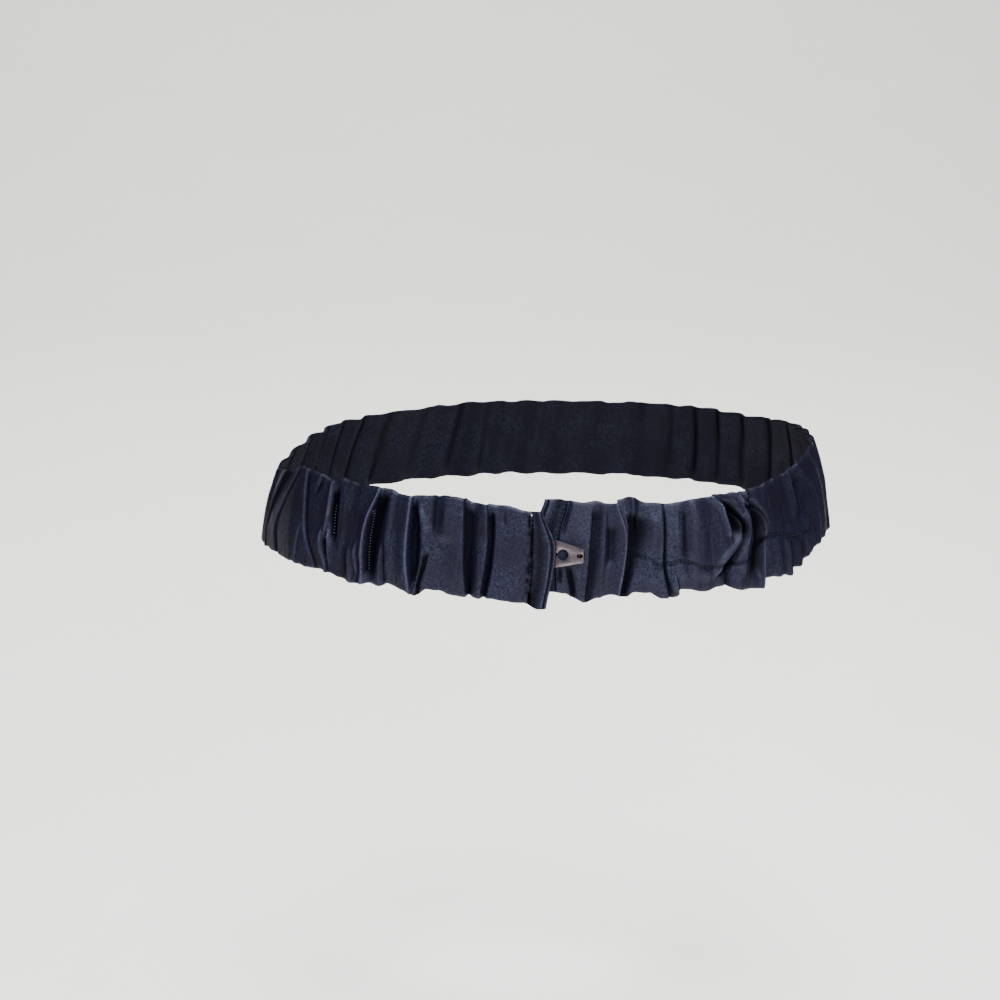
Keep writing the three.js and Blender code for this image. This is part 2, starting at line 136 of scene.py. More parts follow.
# %% The edges
RIGHT_EDGES = np.array([
    (-6, 1.06, -0.9), (-1, 1.08, -0.88), (0.5, 1.03, -0.9), (2.3, 1.03, -1.03), (4.5, 1.01, -1.13),
    (6.7, 1.03, -1), (9.2, 0.98, -0.92), (11.5, 1.05, -1.03), (13.8, 1.11, -0.9), (16.4, 0.99, -0.92),
    (18.8, 0.99, -1.07), (20.8, 0.94, -1.08), (23.2, 0.95, -0.9), (28.5, 0.97, -0.99),
    (32.5, 1.01, -0.93), (36.5, 1, -1.1), (41.5, 0.99, -1.13), (43.8, 1, -0.95), (50, 1.08, -1.02),
    (51.6, 1.1, -1.04), (52.8, 1.12, -0.91), (56, 1.16, -0.95), (57.4, 1.18, -0.81), (61.8, 1.25, -0.77),
    (63.2, 1.26, -0.67), (76, 1.35, -0.62), (96, 1.38, -0.62), (130, 1.14, -0.86),
    (180, 1, -1),
])
LEFT_EDGES = np.array([
    (-180, 1, -1), (-130, 0.9, -1.04), (-96, 0.52, -1.14), (-84, 0.55, -1.15), (-76, 0.74, -1.08),
    (-66, 1.02, -1.03), (-58, 1.04, -1.03), (-54, 0.98, -1), (-50, 1.07, -0.98), (-44, 1.03, -1.07),
    (-39, 1.07, -1.02), (-36, 1.04, -1.02), (-34.5, 1, -0.96), (-31, 1, -1.02),
    (-28.4, 1.02, -1.13), (-26, 1.01, -0.93), (-23.3, 1.1, -0.95), (-20.6, 1.06, -0.99),
    (-18, 0.99, -1), (-12, 0.98, -1), (-7.2, 0.9, -1.04), (-4.4, 0.88, -1.16), (-2, 0.88, -1.1),
])


def eased_table(table, column, at):
    """The table's value at a place: an even S from each row to the next one."""
    i = np.clip(np.searchsorted(table[:, 0], at) - 1, 0, len(table) - 2)
    share = smooth((at - table[i, 0]) / (table[i + 1, 0] - table[i, 0]))
    return table[i, column] * (1 - share) + table[i + 1, column] * share


def level_at(run, height):
    """How high a place lies, in mm: between the lower and the upper edge by its height."""
    at = signed(run)
    right_half = run < 180
    top = np.where(right_half, eased_table(RIGHT_EDGES, 1, at), eased_table(LEFT_EDGES, 1, at))
    low = np.where(right_half, eased_table(RIGHT_EDGES, 2, at), eased_table(LEFT_EDGES, 2, at))
    return CASING_HEIGHT / 2 * (low + (top - low) * height)


def on_loop(run, level, out):
    """Points in metres: the tapered oval at that level, pushed out from it by a distance."""
    share = level / CASING_HEIGHT + 0.5
    half_width = LOWER_HALF_WIDTH + (UPPER_HALF_WIDTH - LOWER_HALF_WIDTH) * share + out
    half_depth = LOWER_HALF_DEPTH + (UPPER_HALF_DEPTH - LOWER_HALF_DEPTH) * share + out
    turn = np.radians(run)
    x = half_width * np.sin(turn)
    y = -half_depth * np.cos(turn)
    return np.stack([x, y, np.broadcast_to(level, x.shape)], -1) * MM


print("places along the edges:", len(RIGHT_EDGES) + len(LEFT_EDGES))

# %% [markdown]
# ## The closure's lines
# The left tab laps over the right tab, with the hook between them, so one is pushed out and the other
# in. These lines give the tabs' edges and the stitched ends of the casing, in degrees at heights 1,
# 2/3, 1/3 and 0.

# %% Lines and laps
UPPER_TAB_EDGE = (-4.1, -1.5, -1.9, -3.0)
UPPER_HEM_LINE = (-6.3, -6.4, -6.3, -6.8)
LOWER_HEM_LINE = (1.3, -0.3, -1.0, -0.9)
LOWER_TAB_EDGE = (-3.8, -6.0, -5.6, -5.4)
LAP_FLAT, LAP_REACH = 6, 18
LAP_OUT, LAP_IN = 3.6, 2.4


def line_at(line, height):
    """A smooth curve through four values that are given from the upper edge down."""
    values = np.asarray(line, float)
    last = len(values) - 1
    place = np.clip(1 - height, 0, 1) * last
    i = np.minimum(place.astype(int), last - 1)
    before, after = values[np.maximum(i - 1, 0)], values[np.minimum(i + 2, last)]
    here, there = values[i], values[i + 1]
    f = place - i
    hold = smooth(f)
    start = (there - before) / 2 * f * (1 - f) ** 2
    end = (after - here) / 2 * f * f * (1 - f)
    return here * (1 - hold) + there * hold + start - end


def lap_out(run):
    """Out at the upper tab and in at the lower one, both easing back to the loop."""
    upper = LAP_OUT * smooth((run - (360 - LAP_FLAT - LAP_REACH)) / LAP_REACH)
    lower = -LAP_IN * (1 - smooth((run - LAP_FLAT) / LAP_REACH))
    return np.where(run > 180, upper, lower)


print("the two tabs are moved", LAP_OUT + LAP_IN, "mm apart")

# %% [markdown]
# ## The folds
# A gathered casing has folds of its own at every place, so they are read from the belt one by one. A
# row gives a fold's line in degrees at heights 1, 2/3, 1/3 and 0, how far it stands out in mm, how
# far it reaches to its left and right in degrees, how sharply it is pinched (0 round, 1 sharp), how
# far its crest leans over sideways in degrees, and the heights between which it runs.

# %% The fold table
FOLD_COLUMNS = ("name", "line", "rise", "left", "right", "pinch", "lean", "start", "end")
FOLDS = [
    ("outer side crest", (-77.5, -80.5, -82, -80), 0.8, 1.6, 0.4, 0.5, 0.2, 0, 1),
    ("left side crest", (-68.5, -72.5, -74.6, -71.5), 0.2, 1, 0.3, 0.7, 0, 0, 1),
    ("left side crease", (-67.9, -71.9, -74, -71), -0.7, 0.3, 1, 0.2, 0, 0, 1),
    ("left panel", (-65.5, -66.5, -65.5, -63), 0.5, 3, 2.4, 0, 0, 0, 1),
    ("left thin crest", (-64, -61.6, -58.8, -54), 0.25, 0.8, 0.25, 0.6, 0, 0, 1),
    ("left thin crease", (-63.4, -61, -58.2, -53.4), -0.5, 0.3, 1.2, 0.2, 0, 0, 1),
    ("left low branch", (-59, -58.8, -61.4, -61), 0.45, 0.8, 0.25, 0.6, 0, 0, 0.5),
    ("left top branch", (-57.5, -61, -62, -62), 0.5, 0.7, 0.4, 0.5, 0, 0.82, 1),
    ("split crest", (-53.2, -52.3, -52.2, -52.2), 1.1, 0.7, 0.4, 0.6, 0.2, 0.4, 1),
    ("split left branch", (-52, -52.4, -53.2, -50.3), 1.2, 0.5, 0.25, 0.6, 0, 0, 0.52),
    ("split right branch", (-51.8, -51.8, -50.5, -48.9), 1.1, 0.3, 0.6, 0.5, 0, 0.06, 0.52),
    ("split eye", (-52, -52, -52, -49.8), -2.8, 0.5, 0.5, 0.1, 0, 0.08, 0.44),
    ("split light", (-48.8, -47.8, -47.2, -46.6), 0.4, 0.5, 1.2, 0.2, 0, 0.2, 0.9),
    ("smooth panel", (-46, -46, -45.8, -45.6), -0.8, 3, 2, 0, 0, 0, 1),
    ("panel foot", (-43, -43.4, -44.4, -43), 1.2, 1.2, 0.9, 0.3, 0, 0, 0.42),
    ("diagonal crest", (-39.2, -41, -41, -40), 1.8, 1.3, 0.3, 0.5, 0.2, 0, 1),
    ("diagonal branch", (-41, -41.6, -42.9, -40.4), 0.9, 0.8, 0.4, 0.4, 0, 0, 0.5),
    ("recess thread line", (-40.4, -40.2, -40, -39.2), 0.2, 0.3, 0.3, 0, 0, 0.1, 0.8),
    ("short low edge", (-37.7, -37.5, -36.9, -36.1), 0.9, 1.2, 0.2, 0.2, 0.2, 0, 0.46),
    ("short low crease", (-37, -36.9, -36.4, -35.6), -1.1, 0.2, 0.7, 0.2, 0, 0, 0.5),
    ("lens left crest", (-31.6, -31.3, -30.8, -29.6), 2.2, 2.2, 0.3, 0.3, 0.4, 0, 1),
    ("lens right ridge", (-29.6, -27.8, -27.2, -28.3), 1.7, 0.5, 0.9, 0.2, 0, 0.04, 0.94),
    ("small top dent", (-26.6, -26.1, -25.8, -25.5), -1.3, 0.6, 0.8, 0, 0, 0.62, 1),
    ("top bulge", (-23.4, -23.2, -23, -22.8), 1.6, 1.6, 2, 0, 0, 0.5, 1),
    ("bulge dent", (-24.8, -24.6, -24.4, -24.4), -0.4, 0.6, 0.7, 0, 0, 0.62, 0.98),
    ("upright edge", (-20.5, -19.9, -19.4, -18.6), 2.4, 2.6, 0.2, 0.1, 0.7, 0, 1),
    ("tab crest", (-15.3, -14.8, -15, -15.6), 1.6, 1.2, 0.35, 0.2, 0.2, 0, 1),
    ("tab dent", (-11.5, -11.4, -11.3, -11.2), -1, 0.4, 0.5, 0.1, 0, 0.74, 0.98),
    ("corner crease", (1.5, -0.1, -1, -1.2), -1.5, 0.25, 0.4, 0.2, 0, 0.6, 1),
    ("left prong crease", (-0.9, -0.9, -0.9, -0.7), -1.2, 0.3, 0.5, 0.2, 0, 0.06, 0.34),
    ("right prong crease", (0.5, 0.5, 0.9, 2), -2.2, 0.35, 0.7, 0.1, 0, 0, 0.36),
    ("low tab bulge", (3, 3, 3, 3.2), 0.9, 1.4, 1.2, 0, 0, 0, 0.34),
    ("narrow ridge", (8.4, 7.9, 7.5, 6.9), 1, 0.6, 0.6, 0, 0, 0, 1),
    ("dimples", (9.8, 9.5, 9.2, 9), -1.7, 0.7, 0.8, 0, 0, 0.3, 0.8),
    ("curved crest", (10.3, 11.7, 11, 10), 2.4, 1.1, 0.35, 0.4, 0.5, 0, 1),
    ("top ridge", (14, 13.7, 13.9, 14.2), 2.2, 0.7, 0.8, 0.2, 0, 0.6, 1),
    ("light panel", (17.4, 17.2, 16.8, 16.8), 0.9, 1.4, 1.2, 0, 0, 0.1, 0.9),
    ("straight edge", (19.7, 19.3, 18.8, 19.8), 1.2, 1.8, 0.2, 0.1, 0.3, 0, 1),
    ("curl", (22.2, 21.9, 21.2, 21.9), 1.8, 0.6, 0.3, 0.3, 0.3, 0, 0.26),
    ("wide panel left", (22.8, 22.6, 22.4, 22.8), 0.8, 1.4, 1.6, 0, 0, 0.1, 1),
    ("panel dent", (25.2, 24.9, 24.5, 24.2), -1.2, 0.9, 1.1, 0.1, 0, 0.35, 0.95),
    ("wide panel right", (28, 28, 27.5, 27), 1, 2, 2, 0, 0, 0.1, 1),
    ("beak crest", (31.8, 38.2, 33.6, 28.8), 1.9, 1, 0.3, 0.6, 0, 0.1, 1),
    ("beak inner crest", (33.2, 34.8, 35.4, 36), 1.5, 0.5, 0.25, 0.5, 0, 0.52, 0.96),
    ("strip ridge", (41, 40.2, 38.4, 37), 1.2, 0.8, 0.7, 0.2, 0, 0.14, 1),
    ("big crest", (38.6, 44.6, 43.2, 41.8), 2.2, 0.6, 0.35, 0.6, 0.1, 0, 1),
    ("flap ridge", (39, 38.4, 37.3, 36.2), 1.4, 0.9, 1.2, 0.1, 0, 0, 0.34),
    ("flap hollow", (34.2, 34.2, 34, 33.6), -1.6, 0.6, 0.8, 0.1, 0, 0, 0.3),
    ("side panel", (52, 52, 52, 52), -0.6, 3.4, 3, 0, 0, 0.4, 1),
    ("faint crest", (56.2, 56.8, 57, 57), 0.8, 1.4, 0.4, 0.3, 0.1, 0.45, 1),
    ("right hollow", (59.8, 59, 57.8, 57), -1.4, 1.6, 2.2, 0, 0, 0.4, 0.94),
    ("right side crest", (61, 67.4, 68, 66.8), 1.2, 2.2, 0.5, 0.3, 0.1, 0, 1),
    ("right outer crest", (70.5, 73.5, 73.2, 71.8), 0.8, 1.8, 1.2, 0.1, 0, 0, 1),
    ("last right crest", (79, 80.5, 80, 78.5), 1, 1.4, 1, 0.4, 0, 0, 1),
]
FOLD_FADE = 0.12
# Folds that sink in get painted shade over their reach; pinched crests get a narrow painted highlight line.
FULL_SHADE_DEPTH = 2.6
HIGHLIGHT_REACH = 0.2
HIGHLIGHT_PINCH = 0.25
PINCH_TIP, PINCH_FALL = 0.22, 1.3
LEAST_SLIDE_REACH = 0.6
SHADE_REACH_LEFT, SHADE_REACH_RIGHT = 1.3, 1.1


def fold_shape(distance, left, right, pinch):
    """1 on the line. A round fold falls off as a bell; a pinched one falls straight off a tiny tip."""
    reach = np.where(distance < 0, left, right)
    tip = np.sqrt(distance ** 2 + PINCH_TIP ** 2) - PINCH_TIP
    sharp = np.exp(-PINCH_FALL * tip / reach)
    return bell(distance, reach) * (1 - pinch) + sharp * pinch


def ends_share(height, start, end):
    """1 between two heights, with an even S at each end; an end at the belt's own edge stays open."""
    begins = 1 if start == 0 else smooth((height - start) / FOLD_FADE)
    ends = 1 if end == 1 else smooth((end - height) / FOLD_FADE)
    return begins * ends


def fold_fields(run, height):
    """How far the folds push the cloth out, in mm, how far they carry it sideways, in degrees, how much
    painted shade each place gets in a hollow, and how much painted highlight on a sharp crest."""
    at = signed(run)
    out, slide, hollow_shade, crest = (np.zeros(run.shape) for field in range(4))
    for name, line, rise, left, right, pinch, lean, start, end in FOLDS:
        share = ends_share(height, start, end)
        distance = at - line_at(line, height)
        out += rise * share * fold_shape(distance, left, right, pinch)
        slide += lean * share * fold_shape(distance, left, max(right, LEAST_SLIDE_REACH), 0)
        # A sunken fold adds painted shade, and a pinched crest adds a painted highlight line.
        if rise < 0:
            dark = min(1, -rise / FULL_SHADE_DEPTH)
            hollow_shade += dark * share * fold_shape(distance, SHADE_REACH_LEFT * left, SHADE_REACH_RIGHT * right, 0)
        elif pinch >= HIGHLIGHT_PINCH:
            crest += share * bell(distance, HIGHLIGHT_REACH)
    return out, slide, hollow_shade, crest


print("folds:", len(FOLDS), "rows of", ", ".join(FOLD_COLUMNS))

# %% [markdown]
# Where the cloth tucks in behind a crest it leaves a pocket: it drops at once beside the crest and comes
# back slowly. A row gives a pocket's two edges as lines, its depth in mm, how much painted shade it gets
# (dark), and its two heights.

# %% The pocket table
POCKET_COLUMNS = ("name", "left_line", "right_line", "depth", "dark", "start", "end")
POCKETS = [
    ("side pocket", (-68.2, -72.2, -74.3, -71.2), (-65.6, -69.4, -71.4, -69), 0.15, 0.45, 0, 0.97),
    ("thin crest pocket", (-63.7, -61.3, -58.5, -53.8), (-61.7, -59.2, -56.8, -52.6), 0.2, 0.4, 0, 0.97),
    ("left top pocket", (-57.2, -59.4, -60, -60), (-55.6, -57.4, -58, -58), 0.9, 0.7, 0.74, 0.99),
    ("split pocket", (-53.3, -52.4, -50.4, -49), (-50.2, -48.9, -47.9, -47.4), 2.6, 0.95, 0.3, 0.94),
    ("diagonal pocket", (-39.2, -41, -41.1, -40.2), (-36, -35.8, -36.2, -37.2), 3, 0.95, 0.03, 0.98),
    ("branch pocket", (-43, -42.8, -42.2, -41.4), (-41.6, -41.4, -40.9, -40.2), 0.9, 0.6, 0, 0.32),
    ("lens pocket", (-31.2, -30.9, -30.3, -29.1), (-30, -28.2, -27.6, -28.4), 3.4, 0.75, 0.06, 0.96),
    ("lens tail", (-27.2, -27.2, -27.3, -28.5), (-25.8, -25.8, -25.9, -27.2), 2.2, 0.9, 0, 0.46),
    ("upright pocket", (-20.3, -19.6, -19.1, -18.3), (-16.5, -16.1, -16, -16.6), 2.1, 0.75, 0, 0.97),
    ("tab pocket", (-14.9, -14.4, -14.5, -15.2), (-13.2, -12.8, -13, -13.8), 2.4, 0.8, 0, 0.96),
    ("panel pocket", (6, 5.3, 4.8, 4), (8.2, 7.6, 7, 6.2), 1.7, 0.75, 0, 0.96),
    ("curved pocket", (12, 12.7, 12, 10.8), (18.2, 18, 15.2, 12.6), 2.8, 0.9, 0, 0.88),
    ("straight pocket", (20, 19.6, 19.1, 20.1), (20.9, 20.5, 20.2, 21.6), 1.6, 0.75, 0, 0.97),
    ("beak pocket", (33.3, 34.9, 35.5, 36.2), (37.4, 40.2, 38.8, 37.6), 3, 1, 0.52, 0.97),
    ("beak crease", (32.4, 38.7, 34.1, 29.4), (34.2, 40.4, 37, 31.6), 2.4, 0.95, 0.08, 0.95),
    ("strip pocket", (39, 41.1, 39.6, 38.2), (41.8, 46.4, 44, 42), 2.4, 0.95, 0.1, 0.96),
    ("big pocket", (39.2, 45.1, 43.6, 42), (41, 46.6, 45, 43.4), 0.4, 0.15, 0, 0.95),
    ("end shade", (-77, -80.2, -81.6, -79.8), (-68.9, -73.5, -78.5, -78.6), 0.1, 0.75, 0.25, 1),
]
POCKET_DROP, POCKET_FLOOR = 0.12, 0.4
LEAST_POCKET = 0.4


def pocket_fields(run, height):
    """How deep the pockets are, in mm, and how much painted shade they get. With u from 0 at a pocket's left
    edge to 1 at its right edge, it drops over the first part of u and rises after the floor."""
    at = signed(run)
    depth, hollow_shade = np.zeros(run.shape), np.zeros(run.shape)
    for name, left_line, right_line, deep, dark, start, end in POCKETS:
        left, right = line_at(left_line, height), line_at(right_line, height)
        u = (at - left) / np.maximum(right - left, LEAST_POCKET)
        share = smooth(u / POCKET_DROP) * (1 - smooth((u - POCKET_FLOOR) / (1 - POCKET_FLOOR)))
        share = share * ends_share(height, start, end)
        depth += deep * share
        # The pocket's dark share is painted shade.
        hollow_shade += dark * share
    return depth, hollow_shade


print("pockets:", len(POCKETS), "rows of", ", ".join(POCKET_COLUMNS))

# %% [markdown]
# ## Small wrinkles
# Between the folds the satin is never quite flat. A seeded lattice of random heights, blended
# smoothly, gives low wrinkles that run up and down, and stronger puckers along the two edges and the
# topstitching. A row of the table gives a kind's rise in mm, its step in degrees, its step in height
# and its seed. The upper tab and the belt's two sides are calmer than the rest.

# %% Wrinkles
WAVES = {
    "soft": (0.26, 1.9, 0.5, 11), "fine": (0.1, 0.8, 0.2, 12), "grain": (0.05, 0.4, 0.07, 13),
    "edge pucker": (0.35, 1.5, 0.5, 14), "edge level": (0.4, 1.7, 1, 15),
    "hem pucker": (0.3, 0.8, 0.035, 16), "hem shade": (0.9, 0.7, 0.045, 17),
    "seam pucker": (0.14, 0.8, 1.0, 22),
    "uneven gather": (0.3, 9, 0.5, 31), "loose gather": (0.8, 3.1, 0.45, 32),
}
RUN_MARGIN = 10
SOFT_SLANT, FINE_SLANT, EDGE_REACH = 2.2, 1.2, 0.08
TOPSTITCH_AT, TOPSTITCH_REACH = -6.6, 0.8
TAB_MIDDLE, TAB_HALF, TAB_FADE, TAB_SHARE = -9, 3.5, 3, 0.3
SIDE_FROM, SIDE_FADE, SIDE_CALM = 50, 14, 0.6


def lattice(kind, run, height):
    """Random numbers from -1 to 1 at the corners of a grid, blended by an even S inside each cell,
    times the rise of their kind."""
    rise, run_step, height_step, seed = WAVES[kind]
    columns, rows = int((360 + 2 * RUN_MARGIN) / run_step) + 3, int(1 / height_step) + 3
    corners = np.random.default_rng(seed).uniform(-1, 1, (columns, rows))
    u = np.clip((run + RUN_MARGIN) / run_step, 0, columns - 1.001)
    v = np.clip(height / height_step, 0, rows - 1.001)
    i, j = u.astype(int), v.astype(int)
    s, t = smooth(u - i), smooth(v - j)
    low = corners[i, j] * (1 - s) + corners[i + 1, j] * s
    high = corners[i, j + 1] * (1 - s) + corners[i + 1, j + 1] * s
    return rise * (low * (1 - t) + high * t)


def wrinkle_out(run, height):
    """Tall soft wrinkles, finer ones on them, and puckers that die away from each edge."""
    at = signed(run)
    waves = lattice("soft", run + SOFT_SLANT * (height - 0.5), height)
    waves = waves + lattice("fine", run - FINE_SLANT * height, height)
    pucker = np.exp(-np.minimum(height, 1 - height) / EDGE_REACH) * lattice("edge pucker", run, height)
    pucker = pucker + bell(at - TOPSTITCH_AT, TOPSTITCH_REACH) * lattice("hem pucker", run, height)
    off_tab = smooth((np.abs(at - TAB_MIDDLE) - TAB_HALF) / TAB_FADE)
    lively = TAB_SHARE + (1 - TAB_SHARE) * off_tab
    side = 1 - SIDE_CALM * smooth((np.abs(at) - SIDE_FROM) / SIDE_FADE)
    return (waves * lively + pucker) * side + lattice("grain", run, height)


print("kinds of small wrinkle:", len(WAVES))

# %% [markdown]
# On the right half a stitched seam sinks in and draws up short ruffles below it. A row of the seam's
# table gives degrees and height. A row of the ruffles' table gives degrees, rise in mm and reach in
# degrees. A ruffle leans to one side or the other by a sine of its own place.

# %% The seam
SEAM_FADE = 2
FURROW_DEPTH, FURROW_REACH, PUCKER_REACH = 0.35, 0.02, 0.07
SEAM_SHADE, SEAM_SHADE_REACH = 0.7, 0.022
RUFFLE_FADE, RUFFLE_DROP, RUFFLE_LEAN, RUFFLE_TURN = 0.06, 0.4, 2.0, 1.7
SEAM_LINE = np.array([
    (13.6, 0.38), (16.2, 0.4), (18.4, 0.35), (19.6, 0.4), (22.1, 0.37), (26.5, 0.3), (31.1, 0.23),
    (38, 0.3), (44.9, 0.48), (49.2, 0.45), (53.5, 0.36), (57.9, 0.3), (62, 0.28),
])
RUFFLES = np.array([
    (16.4, 0.6, 1), (23.4, 0.4, 0.8), (26.2, 0.5, 0.8), (29, 0.6, 0.9), (31.8, 0.8, 0.8),
    (48, 1, 1.3), (51.6, 1.2, 0.9), (55.4, 0.9, 1.3), (59.4, 1.2, 0.9), (63.2, 0.8, 1.3),
])


def seam_height(run):
    """The seam's height at each run, straight from one measured place to the next."""
    return np.interp(signed(run), SEAM_LINE[:, 0], SEAM_LINE[:, 1])


def seam_out(run, height):
    """A narrow furrow along the seam with small puckers, and bells below it where it ruffles. Also
    gives the furrow's share of a hollow."""
    at = signed(run)
    first, last = SEAM_LINE[0, 0], SEAM_LINE[-1, 0]
    along = smooth((at - first) / SEAM_FADE) * smooth((last - at) / SEAM_FADE)
    above = height - seam_height(run)
    out = -FURROW_DEPTH * along * bell(above, FURROW_REACH)
    out += along * bell(above, PUCKER_REACH) * lattice("seam pucker", run, height * 0)
    below = smooth(-above / RUFFLE_FADE) * (1 - RUFFLE_DROP * height)
    for place, rise, reach in RUFFLES:
        lean = RUFFLE_LEAN * above * math.sin(RUFFLE_TURN * place)
        out += rise * below * bell(at - place + lean, reach)
    return out, SEAM_SHADE * along * bell(above, SEAM_SHADE_REACH)


print("the seam runs from", SEAM_LINE[0, 0], "to", SEAM_LINE[-1, 0], "degrees")

# %% [markdown]
# The front was hidden, so it has plain gathers at an even pitch. With them the cloth's whole shape can
# be summed up: a soft puff between the edges, the laps, the folds, the pockets and all that is small.
# The stitched end of the upper tab gets a ragged shade of its own.

# %% The front and the sum
FRONT_FROM, FRONT_TO, FRONT_FADE = 78, 282, 12
FRONT_PITCH, FRONT_SLANT, FRONT_SWAY, FRONT_SWAY_EVERY = 8, 3, 1.9, 47
FRONT_RISE, FRONT_PINCH = 1.5, 0.8
PUFF = 1.4
HEM_SHADE, HEM_SHADE_AT, HEM_SHADE_REACH = 0.55, -6.4, 0.7


def gather_out(run, height):
    """The front's gathers: a wave of even pitch that slants and sways, with uneven crests."""
    shown = smooth((run - FRONT_FROM) / FRONT_FADE) * smooth((FRONT_TO - run) / FRONT_FADE)
    sway = FRONT_SWAY * np.sin(np.radians(360 * run / FRONT_SWAY_EVERY))
    place = run + sway + FRONT_SLANT * (height - 0.5)
    wave = np.cos(np.radians(360 * place / FRONT_PITCH))
    crest = np.sign(wave) * np.abs(wave) ** FRONT_PINCH
    uneven = 1 + lattice("uneven gather", run, height)
    return shown * (FRONT_RISE * crest * uneven + lattice("loose gather", place, height))


def cloth_fields(run, height):
    """All of the cloth's shape: how far out, in mm, how far sideways, in degrees, and the shares of painted
    shade in hollows and painted highlight on sharp crests."""
    puff = PUFF * (1 - (2 * height - 1) ** 2)
    folds, slide, hollow_shade, crest = fold_fields(run, height)
    depth, pocket = pocket_fields(run, height)
    seam, seam_dark = seam_out(run, height)
    small = wrinkle_out(run, height) + seam + gather_out(run, height)
    ragged = np.clip(HEM_SHADE + lattice("hem shade", run, height), 0, 1)
    by_hem = ragged * bell(signed(run) - HEM_SHADE_AT, HEM_SHADE_REACH)
    out = puff + lap_out(run) + folds - depth + small
    return out, slide, hollow_shade + pocket + by_hem + seam_dark, crest


middle_out = cloth_fields(np.array([0.0]), np.array([0.5]))[0]
print("in the middle of the back the cloth lies", round(float(middle_out[0]), 1), "mm outside the oval")

# %% [markdown]
# ## Cloth as a closed skin
# A band of cloth is two grids of points, the outer face and the inner face, that meet at its rims.
# Near a rim the two come together along a half circle, so that the edge looks folded, not cut. The
# grid is worked out as whole arrays and handed to the mesh in one go.

# %% Mesh helpers
RIM_ROWS = 4
# Painted shade: a share over the whole inner face, and a share on the rounded rims.
INNER_FACE_SHADE, RIM_SHADE = 0.7, 0.8
EDGE_GRIP = 4


def rim_rows(count, wall, length):
    """Shares from 0 to 1, close together at both ends, where the rim is round."""
    rim = wall / 2 / length
    arc = rim * (1 - np.cos(np.linspace(0, np.pi / 2, RIM_ROWS)))
    middle = np.linspace(rim, 1 - rim, count)
    return np.concatenate([arc[:-1], middle, (1 - arc[:-1])[::-1]])


def rim_fullness(distance, radius):
    """The wall's share of its full thickness: a quarter circle from the rim inwards."""
    inside = np.clip(1 - distance / radius, 0, 1)
    return np.sqrt(1 - inside ** 2)


def link_mesh(name, points, faces, uv, fields=None):
    """A mesh object from arrays of points, four-sided faces, a UV for each point and named fields."""
    mesh = bpy.data.meshes.new(name)
    mesh.vertices.add(len(points))
    mesh.vertices.foreach_set("co", points.astype(np.float32).ravel())
    mesh.loops.add(faces.size)
    mesh.loops.foreach_set("vertex_index", faces.astype(np.int32).ravel())
    mesh.polygons.add(len(faces))
    mesh.polygons.foreach_set("loop_start", np.arange(0, faces.size, 4, dtype=np.int32))
    mesh.update(calc_edges=True)
    layer = mesh.uv_layers.new(name="cloth")
    layer.data.foreach_set("uv", uv[faces.ravel()].astype(np.float32).ravel())
    for field, values in (fields or {}).items():
        mesh.attributes.new(field, "FLOAT", "POINT").data.foreach_set("value", values.astype(np.float32))
    mesh.validate()
    piece = bpy.data.objects.new(name, mesh)
    bpy.context.collection.objects.link(piece)
    return piece


def weld(piece, distance=1e-7):
    """Joins points that lie on each other, drops faces with no area, and shades smooth."""
    work = bmesh.new()
    work.from_mesh(piece.data)
    bmesh.ops.remove_doubles(work, verts=work.verts, dist=distance)
    bmesh.ops.recalc_face_normals(work, faces=work.faces)
    work.to_mesh(piece.data)
    work.free()
    piece.data.polygons.foreach_set("use_smooth", np.ones(len(piece.data.polygons), bool))
    piece.data.update()
    return piece


def grid_faces(rows, columns, first, turned):
    """The four-sided faces of a grid of points; turned ones face the other way."""
    index = first + np.arange(rows * columns).reshape(rows, columns)
    a, b, c, d = index[:-1, :-1], index[:-1, 1:], index[1:, 1:], index[1:, :-1]
    order = (d, c, b, a) if turned else (a, b, c, d)
    return np.stack(order, -1).reshape(-1, 4)


def cloth_skin(name, run, height, wall, fullness, groove=0, more_shade=0, more_highlight=0):
    """A closed band: an outer and an inner grid, both moved by the cloth's shape. The inner face shows the
    dull side of the satin and also gets painted shade all over, and the rounded rims get painted shade too."""
    out, slide, hollow_shade, crest = cloth_fields(run, height)
    # This field holds painted shade, and the crest field painted highlights.
    hollow_shade = np.clip(hollow_shade + more_shade + RIM_SHADE * (1 - fullness), 0, 1).ravel()
    crest = np.clip(crest + more_highlight, 0, 1).ravel()
    level = level_at(run, height)
    edge = np.sign(height - 0.5) * (2 * abs(height - 0.5)) ** EDGE_GRIP
    level = level + edge * lattice("edge level", run, height * 0)
    middle = out - wall / 2
    outer = on_loop(run + slide, level, middle + (wall / 2 + groove) * fullness)
    inner = on_loop(run + slide, level, middle - wall / 2 * fullness)
    rows, columns = run.shape
    points = np.concatenate([outer.reshape(-1, 3), inner.reshape(-1, 3)])
    half = rows * columns
    faces = [grid_faces(rows, columns, 0, False), grid_faces(rows, columns, half, True)]
    for column, turned in ((0, True), (columns - 1, False)):
        end = np.arange(rows) * columns + column
        a, b, c, d = end[:-1], half + end[:-1], half + end[1:], end[1:]
        faces.append(np.stack((d, c, b, a) if turned else (a, b, c, d), -1))
    middle_radius = (UPPER_HALF_WIDTH + LOWER_HALF_DEPTH) / 2
    flat = np.stack([np.radians(run) * middle_radius, height * CASING_HEIGHT], -1).reshape(-1, 2) * MM
    fields = {"hollow_shade": np.concatenate([hollow_shade, np.full(hollow_shade.shape, INNER_FACE_SHADE)]),
              "crest": np.concatenate([crest, np.zeros(crest.shape)])}
    return weld(link_mesh(name, points, np.concatenate(faces), np.concatenate([flat, flat]), fields))


print("a rim is rounded in", RIM_ROWS - 1, "steps")

